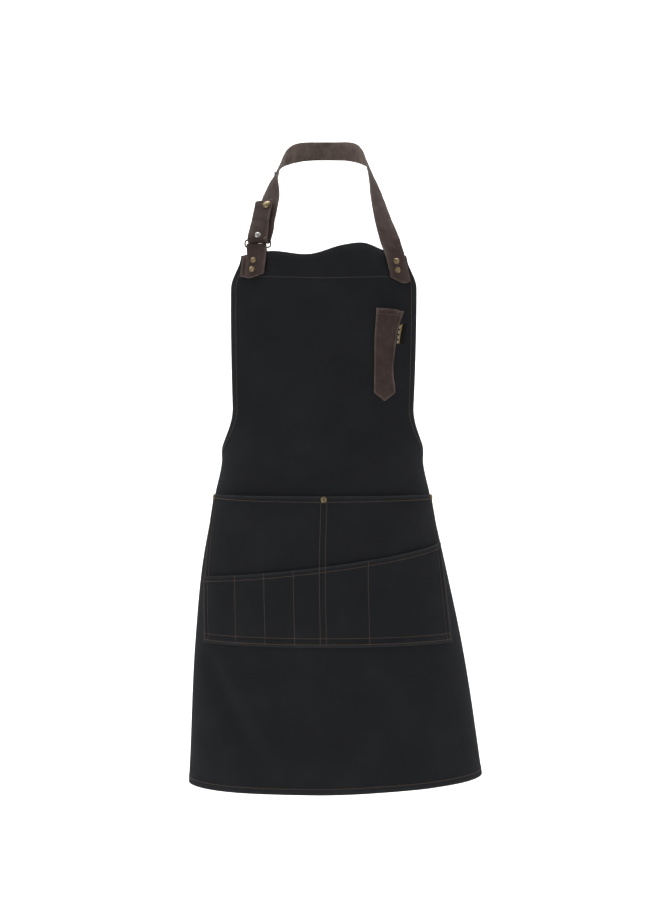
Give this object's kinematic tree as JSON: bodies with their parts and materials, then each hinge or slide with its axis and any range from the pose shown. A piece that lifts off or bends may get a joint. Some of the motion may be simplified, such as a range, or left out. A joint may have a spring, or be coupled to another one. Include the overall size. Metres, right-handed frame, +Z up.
{
  "type": "work apron",
  "caption": "Bib apron with a snap-adjusted halter strap, rivets, a two-tier waist tool pocket, a pen pocket and ties knotted in a bow behind.",
  "frame": {"origin": "middle of the neck strap's inner face at the nape, which is where the apron hangs from", "axes": "+Z up, the wearer faces -Y, +X is the wearer's left"},
  "size_m": [0.4365, 0.2252, 0.9763],
  "materials": {
    "canvas": "matt black cotton canvas",
    "strap_leather": "matt brown waxed leather-look strap with a fine grain",
    "antique_brass": "antique brass, satin with darker edges",
    "snap_steel": "nickel-plated steel",
    "ring_metal": "gunmetal-plated steel wire",
    "label_cloth": "black woven label with a gold edge stripe, no text"
  },
  "bodies": {
    "halter": {"neck_strap": "strap_leather", "snap_stud_upper": "snap_steel", "snap_post_upper": "snap_steel", "snap_stud_middle": "snap_steel", "snap_post_middle": "snap_steel"},
    "flap": {"strap_flap": "strap_leather", "snap_cap": "antique_brass", "snap_socket": "snap_steel", "snap_stud_lower": "snap_steel", "snap_post_lower": "snap_steel"},
    "apron": {"apron_panel": "canvas", "bib_facing": "canvas", "upper_pocket": "canvas", "lower_pocket": "canvas", "pen_pocket": "strap_leather", "strap_patch_left": "strap_leather", "strap_patch_right": "strap_leather", "strap_end_right": "strap_leather", "strap_loop_left": "strap_leather", "rivet_cap_strap_left_upper": "antique_brass", "rivet_back_strap_left_upper": "antique_brass", "rivet_cap_strap_left_lower": "antique_brass", "rivet_back_strap_left_lower": "antique_brass", "rivet_cap_strap_right_upper": "antique_brass", "rivet_back_strap_right_upper": "antique_brass", "rivet_cap_strap_right_lower": "antique_brass", "rivet_back_strap_right_lower": "antique_brass", "rivet_cap_pocket_right_hand": "antique_brass", "rivet_back_pocket_right_hand": "antique_brass", "rivet_cap_pocket_centre": "antique_brass", "rivet_back_pocket_centre": "antique_brass", "rivet_cap_pocket_left_hand": "antique_brass", "rivet_back_pocket_left_hand": "antique_brass", "waist_tie_right_hand": "canvas", "waist_tie_left_hand": "canvas", "tie_knot": "canvas", "tie_bow_loop_right_hand": "canvas", "tie_bow_loop_left_hand": "canvas"},
    "ring": {"strap_ring": "ring_metal"},
    "label": {"label_tag": "label_cloth"},
    "tail_right_hand": {"tie_tail_right_hand": "canvas"},
    "tail_left_hand": {"tie_tail_left_hand": "canvas"}
  },
  "joints": [
    {"name": "bib_swing", "type": "hinge", "parent": "halter", "child": "apron", "pos_m": [0, -0.152, -0.163], "axis": [-1, 0, 0], "range_deg": [0, 35]},
    {"name": "flap_open", "type": "hinge", "parent": "halter", "child": "flap", "pos_m": [-0.0994, -0.1561, -0.16066], "axis": [1, 0, 0], "range_deg": [0, 120]},
    {"name": "ring_pivot", "type": "hinge", "parent": "apron", "child": "ring", "pos_m": [-0.098, -0.15324, -0.17376], "axis": [1, 0, 0], "range_deg": [-3, 3]},
    {"name": "label_flip", "type": "hinge", "parent": "apron", "child": "label", "pos_m": [0.10596, -0.17458, -0.28696], "axis": [-0.1628, -0.063, -0.9846], "range_deg": [0, 95]},
    {"name": "tail_right_hand_swing", "type": "hinge", "parent": "apron", "child": "tail_right_hand", "pos_m": [-0.0191, 0.00227, -0.5345], "axis": [1, 0, 0], "range_deg": [0, 35]},
    {"name": "tail_left_hand_swing", "type": "hinge", "parent": "apron", "child": "tail_left_hand", "pos_m": [0.0089, 0.00227, -0.5345], "axis": [1, 0, 0], "range_deg": [0, 35]}
  ]
}
